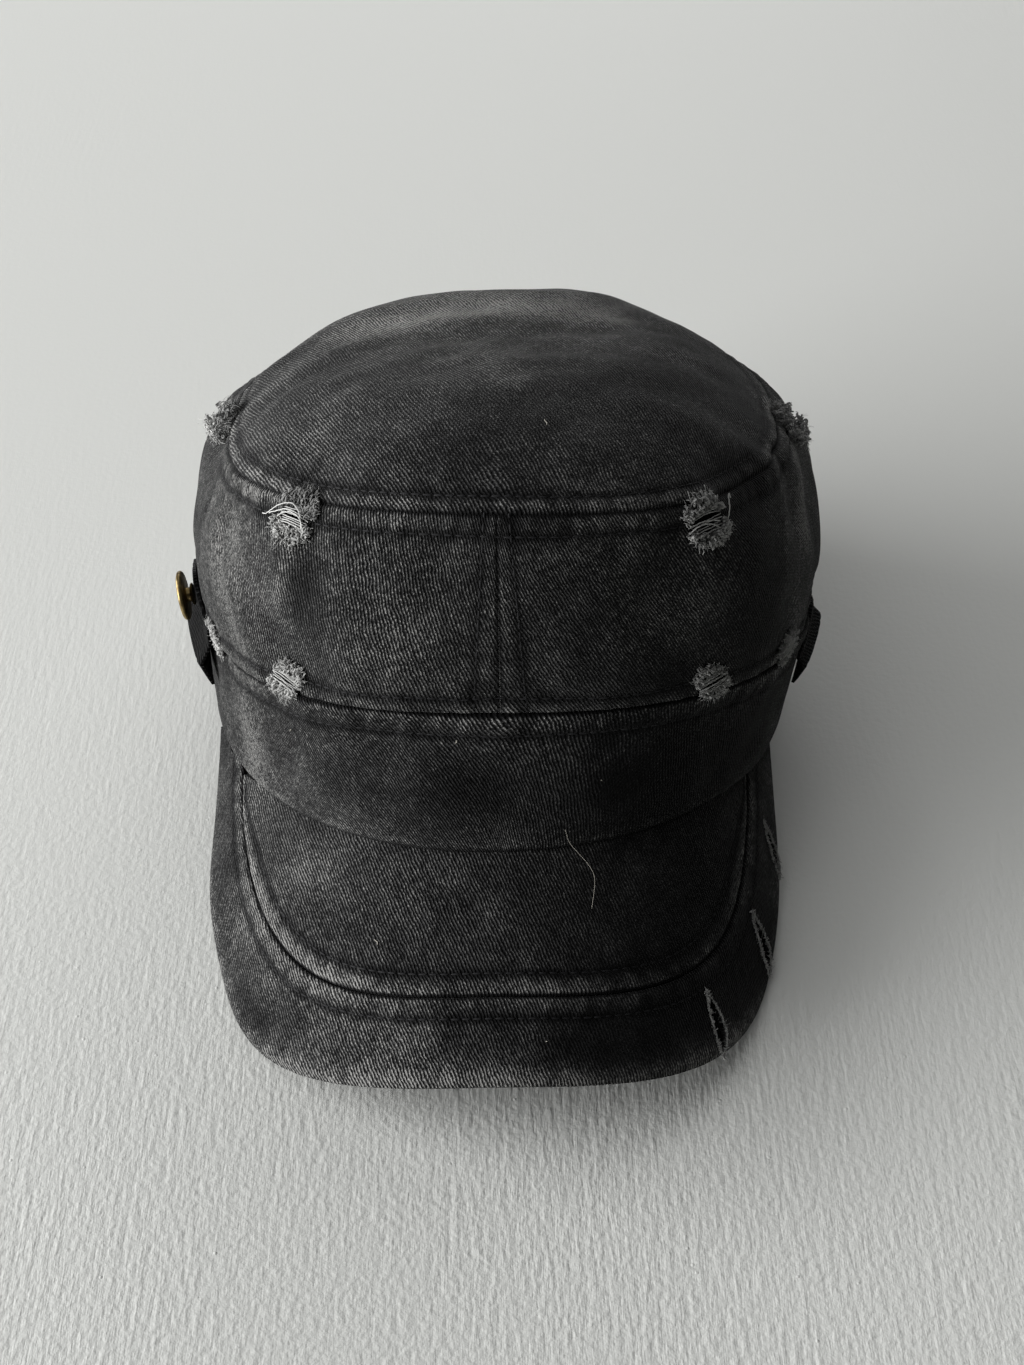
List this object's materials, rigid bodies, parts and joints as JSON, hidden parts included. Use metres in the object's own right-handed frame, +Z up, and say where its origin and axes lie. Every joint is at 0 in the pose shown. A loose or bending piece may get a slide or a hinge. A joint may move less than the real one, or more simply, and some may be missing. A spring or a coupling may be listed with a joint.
{
  "type": "cadet cap",
  "caption": "Washed cotton twill cadet cap with a flat-topped crown, a head band, a curved peak with a slashed border, and side strap tabs with a brass button.",
  "frame": {"origin": "centre of the cap's box seen from above, at the level of the surface that it rests on", "axes": "+Z up as it rests, -Y towards the peak's front edge, +X to the right when facing the peak"},
  "size_m": [0.1819, 0.2695, 0.1457],
  "materials": {
    "twill": "washed charcoal black cotton twill, worn paler along seams and edges",
    "black_cotton": "black cotton of the strap tabs and the topstitching",
    "loose_thread": "loose pale grey and black cotton threads",
    "brass": "antique brass, darkened in the hollows"
  },
  "bodies": {
    "root": {"top_panel": "twill", "side_panel_left": "twill", "side_panel_right": "twill", "head_band": "twill", "peak_inner_panel": "twill", "peak_border_panel": "twill", "peak_underside": "twill", "strap_tab_left": "black_cotton", "strap_tab_right": "black_cotton", "snap_button": "brass", "fray_top_front_left": "loose_thread", "fray_top_front_right": "loose_thread", "fray_top_side_left": "loose_thread", "fray_top_side_right": "loose_thread", "fray_band_front_left": "loose_thread", "fray_band_front_right": "loose_thread", "fray_band_side_left": "loose_thread", "fray_band_side_right": "loose_thread"}
  },
  "joints": []
}
